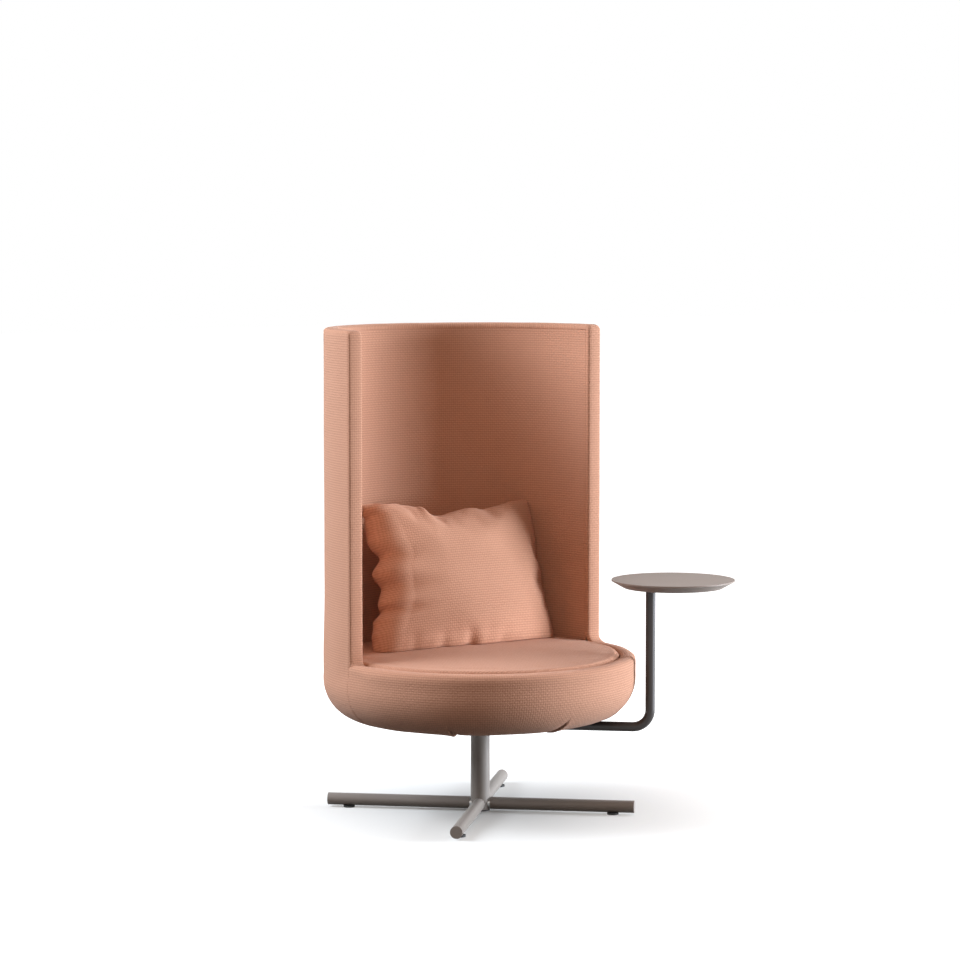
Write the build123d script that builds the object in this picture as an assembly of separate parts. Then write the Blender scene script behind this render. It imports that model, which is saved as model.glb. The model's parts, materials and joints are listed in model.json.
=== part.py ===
"""Swivel lounge chair: star base, round seat drum, half-round high back, pillow and swinging side table."""

import os
from math import asin, cos, degrees, radians, sin, sqrt

from build123d import *

# Driving dimensions, in millimetres and degrees.
# The chair faces -Y, the floor is z = 0, and the column stands on the Z axis.

# Star base
leg_diameter = 32.0
leg_wall = 2.0
leg_reach = 405.0
leg_first_angle = 45.0
leg_count = 4
leg_gap = 2.0
leg_cap_thickness = 3.0
leg_cap_plug = 14.0
glide_diameter = 30.0
glide_height = 5.0
glide_inset = 56.0
glide_stem_diameter = 8.0
glide_stem_length = 12.0
spigot_length = 55.0
spigot_root = 15.0
grub_diameter = 6.0
grub_length = 9.0
grub_offset = 20.0

# Column and swivel bearing
column_diameter = 50.0
column_wall = 3.0
column_length = 229.0
hub_core_height = 40.0
plug_flange = 3.0
plug_stem_diameter = 14.0
plug_stem_length = 15.0
spindle_diameter = 25.0
bush_wall = 2.5
head_flange = 4.0
head_depth = 36.0
lower_plug_height = 30.0
lower_plug_level = 90.0
spindle_tail = 14.0
washer_thickness = 2.5
washer_rim = 6.5
circlip_thickness = 2.0
circlip_groove = 1.0
circlip_rim = 3.0
circlip_mouth = 8.0
race_thickness = 3.0
race_rim = 8.5
ball_diameter = 5.0
ball_count = 12
cage_thickness = 2.0
cage_side = 1.2

# Swivel plate and the hub that the table arm turns on
plate_diameter = 220.0
plate_thickness = 5.0
plate_screw_count = 6
plate_screw_circle = 180.0
plate_screw_diameter = 8.0
plate_screw_head = 15.0
tee_nut_flange = 22.0
tee_nut_barrel = 11.0
tee_nut_thickness = 2.0
tee_nut_depth = 13.5
hub_gap = 1.5
hub_wall = 3.5
hub_lip = 3.0
retaining_ring_thickness = 2.3
retaining_ring_rim = 5.0
retaining_groove = 1.0

# Seat drum
drum_radius = 405.0
drum_height = 163.0
drum_corner = 115.0
ring_lip_round = 12.0
cover = 2.0
cover_flap = 30.0
ring_pad = 13.0
panel_thickness = 18.0
riser_inset = 25.0
riser_wall = 15.0
riser_height = 38.0
deck_thickness = 12.0
ring_frame_wall = 15.7
cloth_lap = 2.0
inner_flap = 35.0

# Seat pad
pad_gap = 2.0
pad_crown = 10.0
pad_edge_round = 24.0
pad_foot_round = 20.0
pad_waist = 4.0
pad_edge_rise = 3.0

# Back shell
back_wall = 41.0
back_height = 849.0
back_wrap = 178.0
back_top_round = 10.0
back_edge_round = 7.0
band_depth = 12.0
edge_foot_reach = 30.0
edge_foot_height = 50.0
core_thickness = 12.0
core_outer_foam = 8.0
core_top_pad = 12.0
core_edge_pad = 20.0
core_overlap = 65.0
core_screw_count = 7
core_screw_diameter = 6.0
core_screw_head = 12.0
core_screw_head_depth = 4.0
core_screw_first_angle = 24.0

# Table arm and table
arm_diameter = 25.0
arm_wall = 2.0
arm_clearance = 27.5
arm_bend_radius = 45.0
arm_angle = -45.0
collar_height = 25.0
collar_wall = 9.0
collar_bush_wall = 3.0
collar_drop = 5.5
set_screw_diameter = 8.0
set_screw_proud = 2.0
table_height = 617.5
table_diameter = 318.0
table_thickness = 20.0
table_edge = 3.0
table_bevel = 30.0
table_offset = 58.0
pivot_flange_diameter = 80.0
pivot_flange_thickness = 4.0
pivot_boss_height = 5.5
pivot_boss_diameter = 30.0
pivot_pin_diameter = 16.0
pivot_bush_depth = 36.0
pivot_bush_flange = 2.0
table_screw_count = 4
table_screw_circle = 56.0
table_screw_first_angle = 45.0
table_screw_diameter = 4.0
table_screw_head = 8.0
table_screw_length = 14.0

# Pillow
pillow_width = 600.0
pillow_height = 372.0
pillow_thickness = 140.0
pillow_draw_in = 14.0
pillow_edge_share = 0.2
pillow_shoulder_share = 0.836
pillow_tilt = 15.5
pillow_wall_gap = 6.5

# Clearances
running = 0.05
seated = 0.05
soft_clearance = 0.3
thrust_play = 0.1

# Levels worked out from the driving dimensions

leg_axis_z = glide_height + leg_diameter / 2
column_top = glide_height + column_length
bearing_bottom = column_top + head_flange
bearing_top = bearing_bottom + 2 * race_thickness + ball_diameter + 2 * thrust_play
plate_bottom = bearing_top
plate_top = plate_bottom + plate_thickness
panel_top = plate_top + panel_thickness
seat_underside = plate_top - cover
deck_bottom = panel_top + riser_height
deck_top = deck_bottom + deck_thickness
ring_top = seat_underside + drum_height
frame_top = ring_top - cover - ring_pad
back_top = ring_top + back_height

collar_top = plate_bottom - collar_drop
collar_bottom = collar_top - collar_height
arm_axis_z = (collar_top + collar_bottom) / 2
hub_bottom = collar_bottom - retaining_ring_thickness - hub_lip

# Radii worked out from the driving dimensions

column_bore = column_diameter / 2 - column_wall
spindle_radius = spindle_diameter / 2
bush_outer = spindle_radius + bush_wall
hub_inner = column_diameter / 2 + hub_gap
hub_outer = hub_inner + hub_wall
collar_inner = hub_outer + collar_bush_wall
collar_outer = collar_inner + collar_wall
drum_flat = drum_radius - drum_corner
riser_outer = drum_flat - riser_inset
back_inner = drum_radius - back_wall
core_outer = drum_radius - cover - core_outer_foam
core_inner = core_outer - core_thickness
frame_outer = core_inner - soft_clearance
frame_inner = frame_outer - ring_frame_wall
arm_reach = drum_radius + arm_clearance + arm_diameter / 2
table_underside = table_height - table_thickness
pivot_seat = table_underside - pivot_flange_thickness - pivot_boss_height
arm_tube_top = pivot_seat - pivot_bush_flange

# How far a cutting block reaches past the chair on every side
beyond = 4 * (drum_radius + back_height)
# How far a bore or groove cutter runs past the face it opens
overcut = 1.0
# The plane behind which the rear covers begin
seam_y = back_inner * sin(radians((180 - back_wrap) / 2)) + band_depth


def rod(radius, bottom, top):
    """A solid cylinder on the Z axis."""
    return Pos(0, 0, bottom) * Cylinder(radius, top - bottom, align=(Align.CENTER, Align.CENTER, Align.MIN))


def ring(outer, inner, bottom, top):
    """A plain ring on the Z axis."""
    return rod(outer, bottom, top) - rod(inner, bottom - overcut, top + overcut)


def radial_rod(radius, start, end, height):
    """A cylinder that lies along +X at a height."""
    return Pos(start, 0, height) * (Rot(0, 90, 0) * rod(radius, 0, end - start))


def turned(edges, arc=360):
    """A profile of radius and height, turned about the Z axis from the +X side towards +Y."""
    return revolve(Plane.XZ * make_face(edges), Axis.Z, arc)


def around(shape, count, first=0.0, sweep=360.0):
    """Copies of a shape about the Z axis."""
    return [Rot(0, 0, first + sweep * i / count) * shape for i in range(count)]


def group(shapes):
    """Separate solids that share one node."""
    return Compound([solid for shape in shapes for solid in shape.solids()])


def behind(y):
    """Everything at the rear of a plane."""
    return Pos(0, y, 0) * Box(beyond, beyond, beyond, align=(Align.CENTER, Align.MIN, Align.CENTER))


def ahead(y):
    """Everything in front of a plane."""
    return Pos(0, y, 0) * Box(beyond, beyond, beyond, align=(Align.CENTER, Align.MAX, Align.CENTER))


def above(z):
    """Everything over a level."""
    return Pos(0, 0, z) * Box(beyond, beyond, beyond, align=(Align.CENTER, Align.CENTER, Align.MIN))


def below(z):
    """Everything under a level."""
    return Pos(0, 0, z) * Box(beyond, beyond, beyond, align=(Align.CENTER, Align.CENTER, Align.MAX))


def countersunk(shank, head, head_depth, length):
    """A flat-headed screw on the Z axis, with its head down at z = 0 and its shank upwards."""
    cone = Cone(head / 2, shank / 2, head_depth, align=(Align.CENTER, Align.CENTER, Align.MIN))
    return cone + rod(shank / 2, head_depth, length)


def leg(name, angle, parts):
    """One leg of the star base: tube, end cap and glide."""
    turn = Rot(0, 0, angle)
    bore = leg_diameter / 2 - leg_wall
    start = column_diameter / 2 + leg_gap
    end = leg_reach - leg_cap_thickness
    glide_at = leg_reach - glide_inset
    stem = Pos(glide_at, 0, 0) * rod(glide_stem_diameter / 2 + seated, 0, leg_axis_z)
    grub_hole = Pos(start + grub_offset, 0, 0) * rod(grub_diameter / 2 + seated, 0, leg_axis_z)
    tube = radial_rod(leg_diameter / 2, start, end, leg_axis_z)
    tube -= radial_rod(bore, start - overcut, end + overcut, leg_axis_z)
    parts["leg_" + name] = turn * (tube - stem - grub_hole)

    cap = radial_rod(leg_diameter / 2, end, leg_reach, leg_axis_z)
    cap += radial_rod(bore - seated, end - leg_cap_plug, end, leg_axis_z)
    parts["leg_cap_" + name] = turn * cap

    pad = rod(glide_diameter / 2, 0, glide_height)
    pad += rod(glide_stem_diameter / 2, glide_height, glide_height + glide_stem_length)
    parts["glide_" + name] = turn * (Pos(glide_at, 0, 0) * pad)


def base(parts):
    """Column, hub core, legs and what holds them together."""
    spigot_radius = leg_diameter / 2 - leg_wall - seated
    spigot_end = column_diameter / 2 + spigot_length
    grub_at = column_diameter / 2 + leg_gap + grub_offset
    spigot = radial_rod(spigot_radius, spigot_root, spigot_end, leg_axis_z)
    spigot_bore = radial_rod(spigot_radius + seated, spigot_root, spigot_end, leg_axis_z)
    grub_bottom = glide_height + leg_wall / 2
    grub = Pos(grub_at, 0, 0) * rod(grub_diameter / 2, grub_bottom, grub_bottom + grub_length)
    grub_bore = Pos(grub_at, 0, 0) * rod(grub_diameter / 2 + seated, 0, grub_bottom + grub_length + seated)
    bores = around(spigot_bore, leg_count, leg_first_angle)

    tube = ring(column_diameter / 2, column_bore, glide_height, column_top)
    core = rod(column_bore - seated, glide_height, glide_height + hub_core_height)
    core -= rod(plug_stem_diameter / 2 + seated, glide_height, glide_height + plug_stem_length + seated)
    for bore in bores:
        tube -= bore
        core -= bore
    parts["column_tube"] = tube
    parts["hub_core"] = core
    plug = rod(column_diameter / 2, glide_height - plug_flange, glide_height)
    parts["column_plug"] = plug + rod(plug_stem_diameter / 2, glide_height, glide_height + plug_stem_length)
    parts["leg_spigots"] = group(around(spigot - grub_bore, leg_count, leg_first_angle))
    parts["leg_grub_screws"] = group(around(grub, leg_count, leg_first_angle))

    names = ["rear_left", "rear_right", "front_right", "front_left"]
    for i, name in enumerate(names):
        leg(name, leg_first_angle + 360 / leg_count * i, parts)


def swivel_bearings(parts):
    """Bushes in the column and the thrust ball bearing on top of it."""
    head = rod(column_diameter / 2, column_top, bearing_bottom)
    head += rod(column_bore - seated, column_top - head_depth, column_top)
    parts["column_head"] = head - rod(bush_outer + seated, 0, bearing_top)
    parts["upper_bush"] = ring(bush_outer, spindle_radius + running, column_top - head_depth, bearing_bottom)

    lower_top = lower_plug_level + lower_plug_height
    parts["lower_bearing_plug"] = ring(column_bore - seated, bush_outer + seated, lower_plug_level, lower_top)
    parts["lower_bush"] = ring(bush_outer, spindle_radius + running, lower_plug_level, lower_top)

    race_outer = spindle_radius + race_rim
    race_bottom_top = bearing_bottom + race_thickness
    ball_z = race_bottom_top + thrust_play + ball_diameter / 2
    ball_circle = spindle_radius + race_rim / 2
    lower_bore = spindle_radius + 2 * running
    parts["bearing_lower_race"] = ring(race_outer, lower_bore, bearing_bottom, race_bottom_top)
    race_top_bottom = bearing_top - race_thickness
    parts["bearing_upper_race"] = ring(race_outer, spindle_radius + seated, race_top_bottom, bearing_top)

    ball = Pos(ball_circle, 0, ball_z) * Sphere(ball_diameter / 2)
    pocket = Pos(ball_circle, 0, 0) * rod(ball_diameter / 2 + running, bearing_bottom, bearing_top)
    half_width = ball_diameter / 2 + cage_side
    cage = ring(ball_circle + half_width, ball_circle - half_width, ball_z - cage_thickness / 2,
                ball_z + cage_thickness / 2)
    for hole in around(pocket, ball_count):
        cage -= hole
    parts["bearing_cage"] = cage
    parts["bearing_balls"] = group(around(ball, ball_count))


def swivel_mechanism(parts):
    """Spindle, plate and hub sleeve that turn with the seat."""
    washer_top = lower_plug_level - thrust_play
    washer_bottom = washer_top - washer_thickness
    clip_bottom = washer_bottom - circlip_thickness
    spindle = rod(spindle_radius, clip_bottom - spindle_tail, plate_top)
    groove = ring(spindle_radius + overcut, spindle_radius - circlip_groove, clip_bottom, washer_bottom)
    parts["swivel_spindle"] = spindle - groove
    washer_outer = spindle_radius + washer_rim
    parts["spindle_washer"] = ring(washer_outer, spindle_radius + seated, washer_bottom, washer_top)
    clip_inner = spindle_radius - circlip_groove + seated
    clip = ring(spindle_radius + circlip_rim, clip_inner, clip_bottom, washer_bottom)
    mouth = Pos(spindle_radius, 0, clip_bottom) * Box(spindle_diameter, circlip_mouth, 4 * circlip_thickness)
    parts["spindle_circlip"] = clip - mouth

    head_depth_here = (plate_screw_head - plate_screw_diameter) / 2
    screw_length = plate_thickness + panel_thickness
    place = Pos(plate_screw_circle / 2, 0, plate_bottom)
    screw = place * countersunk(plate_screw_diameter, plate_screw_head, head_depth_here, screw_length)
    hole = place * countersunk(plate_screw_diameter + 2 * seated, plate_screw_head + 2 * seated,
                               head_depth_here, screw_length)
    plate = rod(plate_diameter / 2, plate_bottom, plate_top)
    plate -= rod(spindle_radius + seated, 0, plate_top + overcut)
    for cut in around(hole, plate_screw_count):
        plate -= cut
    parts["swivel_plate"] = plate
    parts["plate_screws"] = group(around(screw, plate_screw_count))

    nut = rod(tee_nut_flange / 2, panel_top, panel_top + tee_nut_thickness)
    nut += rod(tee_nut_barrel / 2, panel_top - tee_nut_depth, panel_top)
    nut -= rod(plate_screw_diameter / 2 + seated, 0, panel_top + tee_nut_thickness + overcut)
    parts["tee_nuts"] = group(around(Pos(plate_screw_circle / 2, 0, 0) * nut, plate_screw_count))

    groove_bottom = collar_bottom - retaining_ring_thickness
    sleeve = ring(hub_outer, hub_inner, hub_bottom, plate_bottom)
    sleeve -= ring(hub_outer + overcut, hub_outer - retaining_groove, groove_bottom, collar_bottom)
    parts["hub_sleeve"] = sleeve
    retainer = ring(hub_outer + retaining_ring_rim, hub_outer - retaining_groove + seated, groove_bottom,
                    collar_bottom - thrust_play)
    mouth = Pos(-hub_outer, 0, groove_bottom) * Box(hub_outer, circlip_mouth, 4 * retaining_ring_thickness)
    parts["collar_retaining_ring"] = retainer - mouth


def seat_box(parts):
    """Plywood base panel, riser, deck and ring frame."""
    panel = rod(drum_flat - soft_clearance, plate_top, panel_top)
    barrel = Pos(plate_screw_circle / 2, 0, 0) * rod(tee_nut_barrel / 2 + seated, 0, panel_top + overcut)
    for hole in around(barrel, plate_screw_count):
        panel -= hole
    parts["seat_base_panel"] = panel
    parts["seat_riser_ring"] = ring(riser_outer, riser_outer - riser_wall, panel_top, deck_bottom)
    parts["seat_deck"] = rod(frame_outer, deck_bottom, deck_top)
    frame = ring(frame_outer, frame_inner, deck_top, frame_top)
    for hole in core_screw_shapes(seated):
        frame -= hole
    parts["seat_ring_frame"] = frame


def drum_side(inset, top, lip_round):
    """The outer line of the drum from its top edge down its side and round to the flat underside."""
    outer = drum_radius - inset
    corner = drum_corner - inset
    corner_z = seat_underside + drum_corner
    lip = lip_round - inset
    return [
        CenterArc((outer - lip, top - lip), lip, 0, 90),
        Line((outer, top - lip), (outer, corner_z)),
        CenterArc((drum_flat, corner_z), corner, 0, -90),
    ]


def drum_foam_back(bottom):
    """The inner line of the drum's foam, up the edges of the plywood from the underside to the ring frame."""
    return [(drum_flat, bottom), (drum_flat, panel_top), (frame_outer + soft_clearance, deck_bottom)]


def seat_soft(parts):
    """Foam roll, cover and underside cloth of the drum, and the seat pad."""
    foam_inset = cover + soft_clearance
    foam_bottom = seat_underside + foam_inset
    foam_top = ring_top - foam_inset
    lip = ring_lip_round - foam_inset
    frame_side = frame_outer + soft_clearance
    foam_line = [
        *drum_side(foam_inset, foam_top, ring_lip_round),
        Polyline(*drum_foam_back(foam_bottom), (frame_side, frame_top + soft_clearance),
                 (back_inner + foam_inset, frame_top + soft_clearance), (back_inner + foam_inset, foam_top),
                 (drum_radius - foam_inset - lip, foam_top)),
    ]
    front = ahead(seam_y)
    parts["seat_front_foam"] = turned(foam_line) & ahead(seam_y - soft_clearance)

    flap_inner = drum_flat - cover_flap
    flap_bottom = ring_top - inner_flap
    skin_line = [
        *drum_side(0, ring_top, ring_lip_round),
        Polyline((drum_flat, seat_underside), (flap_inner, seat_underside), (flap_inner, plate_top),
                 (drum_flat, plate_top)),
        *drum_side(cover, ring_top - cover, ring_lip_round),
        Polyline((drum_radius - ring_lip_round, ring_top - cover), (back_inner + cover, ring_top - cover),
                 (back_inner + cover, flap_bottom), (back_inner, flap_bottom), (back_inner, ring_top),
                 (drum_radius - ring_lip_round, ring_top)),
    ]
    parts["seat_front_cover"] = turned(skin_line) & front
    cloth = ring(flap_inner - cloth_lap, plate_diameter / 2 + cloth_lap, seat_underside, plate_top)
    parts["underside_cloth"] = cloth
    parts["seat_pad"] = seat_pad()


def pad_level(radius):
    """Height of the pad's crowned top at a distance from its middle."""
    chord = back_inner - pad_gap - pad_edge_round
    dome = (chord ** 2 + pad_crown ** 2) / (2 * pad_crown)
    return pad_top() - dome + sqrt(dome ** 2 - radius ** 2)


def pad_top():
    """Height of the pad's middle."""
    return ring_top + pad_edge_rise + pad_crown


def seat_pad():
    """Round seat cushion with a crown, a rounded rim and drawn-in sides."""
    bottom = deck_top + soft_clearance
    outer = back_inner - pad_gap
    rim = outer - pad_edge_round
    shoulder = ring_top + pad_edge_rise - pad_edge_round
    foot = bottom + pad_foot_round
    half = sqrt(0.5)
    shoulder_mid = (rim + pad_edge_round * half, shoulder + pad_edge_round * half)
    foot_mid = (outer - pad_foot_round * (1 - half), foot - pad_foot_round * half)
    line = [
        Line((0, bottom), (outer - pad_foot_round, bottom)),
        ThreePointArc((outer - pad_foot_round, bottom), foot_mid, (outer, foot)),
        ThreePointArc((outer, foot), (outer - pad_waist, (foot + shoulder) / 2), (outer, shoulder)),
        ThreePointArc((outer, shoulder), shoulder_mid, (rim, shoulder + pad_edge_round)),
        ThreePointArc((rim, shoulder + pad_edge_round), (rim / 2, pad_level(rim / 2)), (0, pad_top())),
        Line((0, pad_top()), (0, bottom)),
    ]
    return turned(line)


def back_form(inset, bottom):
    """The half ring that the back fills, pulled in by an inset on its outside, inside, top and ends."""
    inner = back_inner + inset
    outer = drum_radius - inset
    top = back_top - inset
    corner = back_top_round - inset
    line = [
        Polyline((inner, top - corner), (inner, bottom), (outer, bottom), (outer, top - corner)),
        CenterArc((outer - corner, top - corner), corner, 0, 90),
        Line((outer - corner, top), (inner + corner, top)),
        CenterArc((inner + corner, top - corner), corner, 90, 90),
    ]
    start = (180 - back_wrap) / 2 + degrees(asin(inset / drum_radius))
    form = Rot(0, 0, start) * turned(line, 180 - 2 * start)
    ends = [face for face in form.faces() if face.geom_type == GeomType.PLANE and abs(face.normal_at().Z) < 0.5]
    rims = [edge for face in ends for edge in face.edges() if edge.center().Z > bottom + overcut]
    return fillet(rims, back_edge_round - inset)


def core_screw_shapes(extra):
    """Radial screws that fasten the back core to the ring frame, or their holes when made larger."""
    length = core_outer - frame_inner - ring_frame_wall / 4
    shank = core_screw_diameter + 2 * extra
    head = core_screw_head + 2 * extra
    screw = countersunk(shank, head, core_screw_head_depth, length)
    height = deck_top + (frame_top - deck_top) / 2
    laid = Pos(core_outer, 0, height) * (Rot(0, -90, 0) * screw)
    sweep = 180 - 2 * core_screw_first_angle
    step = sweep / (core_screw_count - 1)
    return [Rot(0, 0, core_screw_first_angle + step * i) * laid for i in range(core_screw_count)]


def edge_foot(side):
    """The soft fillet where a front edge of the back runs out onto the seat ring."""
    inner = back_inner + back_edge_round / 2
    outer = drum_radius - back_edge_round / 2
    rear = back_inner * sin(radians((180 - back_wrap) / 2)) + cover / 2
    front = rear - cover / 2 - edge_foot_reach
    low = ring_top + soft_clearance
    high = low + edge_foot_height
    sweep_radius = (edge_foot_reach ** 2 + edge_foot_height ** 2) / (2 * edge_foot_reach)
    middle = asin(edge_foot_height / sweep_radius) / 2
    face_y = rear - cover / 2
    bow = (face_y - sweep_radius * (1 - cos(middle)), high - sweep_radius * sin(middle))
    line = [
        Polyline((face_y, high), (rear, high), (rear, low), (front, low)),
        ThreePointArc((front, low), bow, (face_y, high)),
    ]
    length = outer - inner + 2 * back_wall
    start = side * (inner + outer) / 2 - length / 2
    block = Pos(start, 0, 0) * extrude(Plane.YZ * make_face(line), length)
    return block & ring(outer, inner, low - overcut, high + overcut)


def back(parts):
    """Bent plywood core, foams and covers of the back."""
    core = ring(core_outer, core_inner, frame_top - core_overlap, back_top - cover - core_top_pad)
    core_front = seam_y + core_edge_pad - band_depth
    core = core & behind(core_front)
    for hole in core_screw_shapes(seated):
        core -= hole
    parts["back_core"] = core
    parts["core_screws"] = group(core_screw_shapes(0))

    foam_inset = cover + soft_clearance
    stand = frame_top + soft_clearance
    filling = back_form(foam_inset, stand)
    filling -= ahead(seam_y + soft_clearance) & below(ring_top + soft_clearance)
    split = core_outer + soft_clearance / 2
    pocket_top = back_top - cover - core_top_pad + soft_clearance
    pocket = ring(split, core_inner - soft_clearance, stand - overcut, pocket_top)
    pocket = pocket & behind(core_front - soft_clearance)
    parts["back_inner_foam"] = (filling & rod(split, 0, back_top)) - pocket

    foam_bottom = seat_underside + foam_inset
    foam_inner = core_outer + soft_clearance
    core_low = frame_top - core_overlap - soft_clearance
    lower_line = [
        Line((drum_radius - foam_inset, stand), (drum_radius - foam_inset, seat_underside + drum_corner)),
        CenterArc((drum_flat, seat_underside + drum_corner), drum_corner - foam_inset, 0, -90),
        Polyline(*drum_foam_back(foam_bottom), (frame_outer + soft_clearance, core_low), (foam_inner, core_low),
                 (foam_inner, stand), (drum_radius - foam_inset, stand)),
    ]
    lower = turned(lower_line) & behind(seam_y + soft_clearance)
    upper = filling - rod(foam_inner, 0, back_top)
    parts["back_outer_foam"] = upper + lower

    covers(parts)


def covers(parts):
    """Sewn covers of the back: outer, inner, top band and the two front edge bands."""
    flap_inner = drum_flat - cover_flap
    corner_z = seat_underside + drum_corner
    band_bottom = back_top - band_depth
    rear = behind(seam_y)
    outer_line = [
        Line((drum_radius, band_bottom), (drum_radius, corner_z)),
        CenterArc((drum_flat, corner_z), drum_corner, 0, -90),
        Polyline((drum_flat, seat_underside), (flap_inner, seat_underside), (flap_inner, plate_top),
                 (drum_flat, plate_top)),
        CenterArc((drum_flat, corner_z), drum_corner - cover, 0, -90),
        Polyline((drum_radius - cover, corner_z), (drum_radius - cover, band_bottom),
                 (drum_radius, band_bottom)),
    ]
    parts["back_outer_cover"] = turned(outer_line) & rear
    inner_skin = ring(back_inner + cover, back_inner, ring_top - inner_flap, band_bottom)
    parts["back_inner_cover"] = inner_skin & rear

    low = ring_top + soft_clearance
    skin = back_form(0, low) - back_form(cover, low - overcut)
    parts["back_top_band"] = skin & rear & above(band_bottom)
    edges = skin & ahead(seam_y)
    for name, side in (("left", 1), ("right", -1)):
        half = Pos(side * beyond / 2, 0, 0) * Box(beyond, beyond, 2 * beyond)
        parts["back_edge_band_" + name] = (edges & half) + edge_foot(side)


def table_arm(parts):
    """Collar round the hub, bent tube and the bush for the table's pivot."""
    turn = Rot(0, 0, arm_angle)
    bush = ring(collar_inner - seated, hub_outer + running, collar_bottom, collar_top)
    parts["collar_bush"] = bush
    screw_hole = radial_rod(set_screw_diameter / 2 + seated, -collar_outer - overcut, -collar_inner, arm_axis_z)
    collar = ring(collar_outer, collar_inner, collar_bottom, collar_top) - screw_hole
    parts["arm_collar"] = turn * collar
    screw = radial_rod(set_screw_diameter / 2, -collar_outer - set_screw_proud, -collar_inner, arm_axis_z)
    parts["collar_set_screw"] = turn * screw

    start = collar_outer - collar_wall / 2
    route = FilletPolyline((start, 0, arm_axis_z), (arm_reach, 0, arm_axis_z), (arm_reach, 0, arm_tube_top),
                           radius=arm_bend_radius)
    section = Plane(origin=(start, 0, arm_axis_z), z_dir=(1, 0, 0))
    tube = sweep(section * Circle(arm_diameter / 2), path=route)
    tube -= sweep(section * Circle(arm_diameter / 2 - arm_wall), path=route)
    parts["arm_tube"] = turn * (tube - rod(collar_outer + seated, 0, plate_bottom))

    bore = arm_diameter / 2 - arm_wall
    pin = pivot_pin_diameter / 2
    pivot_bush = rod(bore - seated, arm_tube_top - pivot_bush_depth, arm_tube_top)
    pivot_bush += rod(arm_diameter / 2, arm_tube_top, pivot_seat)
    pivot_bush -= rod(pin + running, 0, pivot_seat + overcut)
    parts["pivot_bush"] = turn * (Pos(arm_reach, 0, 0) * pivot_bush)


def table(parts):
    """Round top with a bevelled underside, on a pivot that sits off its middle."""
    at_tube = Rot(0, 0, arm_angle) * Pos(arm_reach, 0, 0)
    radius = table_diameter / 2
    flange_bottom = table_underside - pivot_flange_thickness
    boss_bottom = pivot_seat + thrust_play
    screw_at = Pos(table_screw_circle / 2, 0, flange_bottom)
    head_depth_here = (table_screw_head - table_screw_diameter) / 2
    screw = screw_at * countersunk(table_screw_diameter, table_screw_head, head_depth_here, table_screw_length)
    hole = screw_at * countersunk(table_screw_diameter + 2 * seated, table_screw_head + 2 * seated,
                                  head_depth_here, table_screw_length + seated)
    holes = around(hole, table_screw_count, table_screw_first_angle)

    pivot = rod(pivot_flange_diameter / 2, flange_bottom, table_underside)
    pivot += rod(pivot_boss_diameter / 2, boss_bottom, flange_bottom)
    pivot += rod(pivot_pin_diameter / 2, arm_tube_top - pivot_bush_depth, boss_bottom)
    line = Polyline((0, table_underside), (radius - table_bevel, table_underside),
                    (radius, table_height - table_edge), (radius, table_height), (0, table_height),
                    (0, table_underside))
    top = Pos(table_offset, 0, 0) * turned(line)
    for cut in holes:
        pivot -= cut
        top -= cut
    parts["table_pivot"] = at_tube * pivot
    parts["table_top"] = at_tube * top
    screws = around(screw, table_screw_count, table_screw_first_angle)
    parts["table_screws"] = group([at_tube * one for one in screws])


def pillow_section(at, half_thickness):
    """One upright slice across the pillow: two shallow arcs from its lower to its upper edge."""
    half = pillow_height / 2 + pillow_draw_in
    front = ThreePointArc((0, -half), (half_thickness, 0), (0, half))
    rear = ThreePointArc((0, half), (-half_thickness, 0), (0, -half))
    return Pos(at, 0, 0) * (Plane.YZ * make_face([front, rear]))


def pillow(parts):
    """Loose pillow with thin corners, its upper two close to the inner wall of the back."""
    half_width = pillow_width / 2
    half_height = pillow_height / 2
    crown = pillow_thickness / 2
    edge = half_width + pillow_draw_in
    slices = [(-edge, pillow_edge_share), (-half_width / 2, pillow_shoulder_share), (0, 1),
              (half_width / 2, pillow_shoulder_share), (edge, pillow_edge_share)]
    body = loft([pillow_section(at, crown * share) for at, share in slices])
    upper_left = (-half_width, half_height)
    upper_right = (half_width, half_height)
    lower_right = (half_width, -half_height)
    lower_left = (-half_width, -half_height)
    outline = [
        ThreePointArc(upper_left, (0, half_height - pillow_draw_in), upper_right),
        ThreePointArc(upper_right, (half_width - pillow_draw_in, 0), lower_right),
        ThreePointArc(lower_right, (0, pillow_draw_in - half_height), lower_left),
        ThreePointArc(lower_left, (pillow_draw_in - half_width, 0), upper_left),
    ]
    cutter = extrude(Plane.XZ * make_face(outline), pillow_thickness, both=True)
    shape = Rot(-pillow_tilt, 0, 0) * (Pos(0, 0, half_height) * (body & cutter))
    corner_y = sqrt((back_inner - pillow_wall_gap) ** 2 - half_width ** 2)
    seat_y = corner_y - pillow_height * sin(radians(pillow_tilt))
    held = Pos(0, seat_y, pad_top() + soft_clearance - shape.bounding_box().min.Z) * shape
    drop = held.distance_to(parts["seat_pad"]) - soft_clearance
    parts["pillow"] = Pos(0, 0, -drop) * held


def main():
    parts = {}
    for make in (base, swivel_bearings, swivel_mechanism, seat_box, seat_soft, back, table_arm, table, pillow):
        make(parts)
    os.makedirs("parts", exist_ok=True)
    for name, shape in parts.items():
        export_step(shape, os.path.join("parts", name + ".step"))


main()
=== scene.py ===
"""Swivel lounge chair: sewn covers, seat cushion, loose pillow, finishes, floor, light and camera."""

import json
from math import atan2, cos, degrees, exp, hypot, pi, radians, sin, sqrt

import bmesh
import bpy
from mathutils import Matrix, Vector, noise
from mathutils.bvhtree import BVHTree


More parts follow.
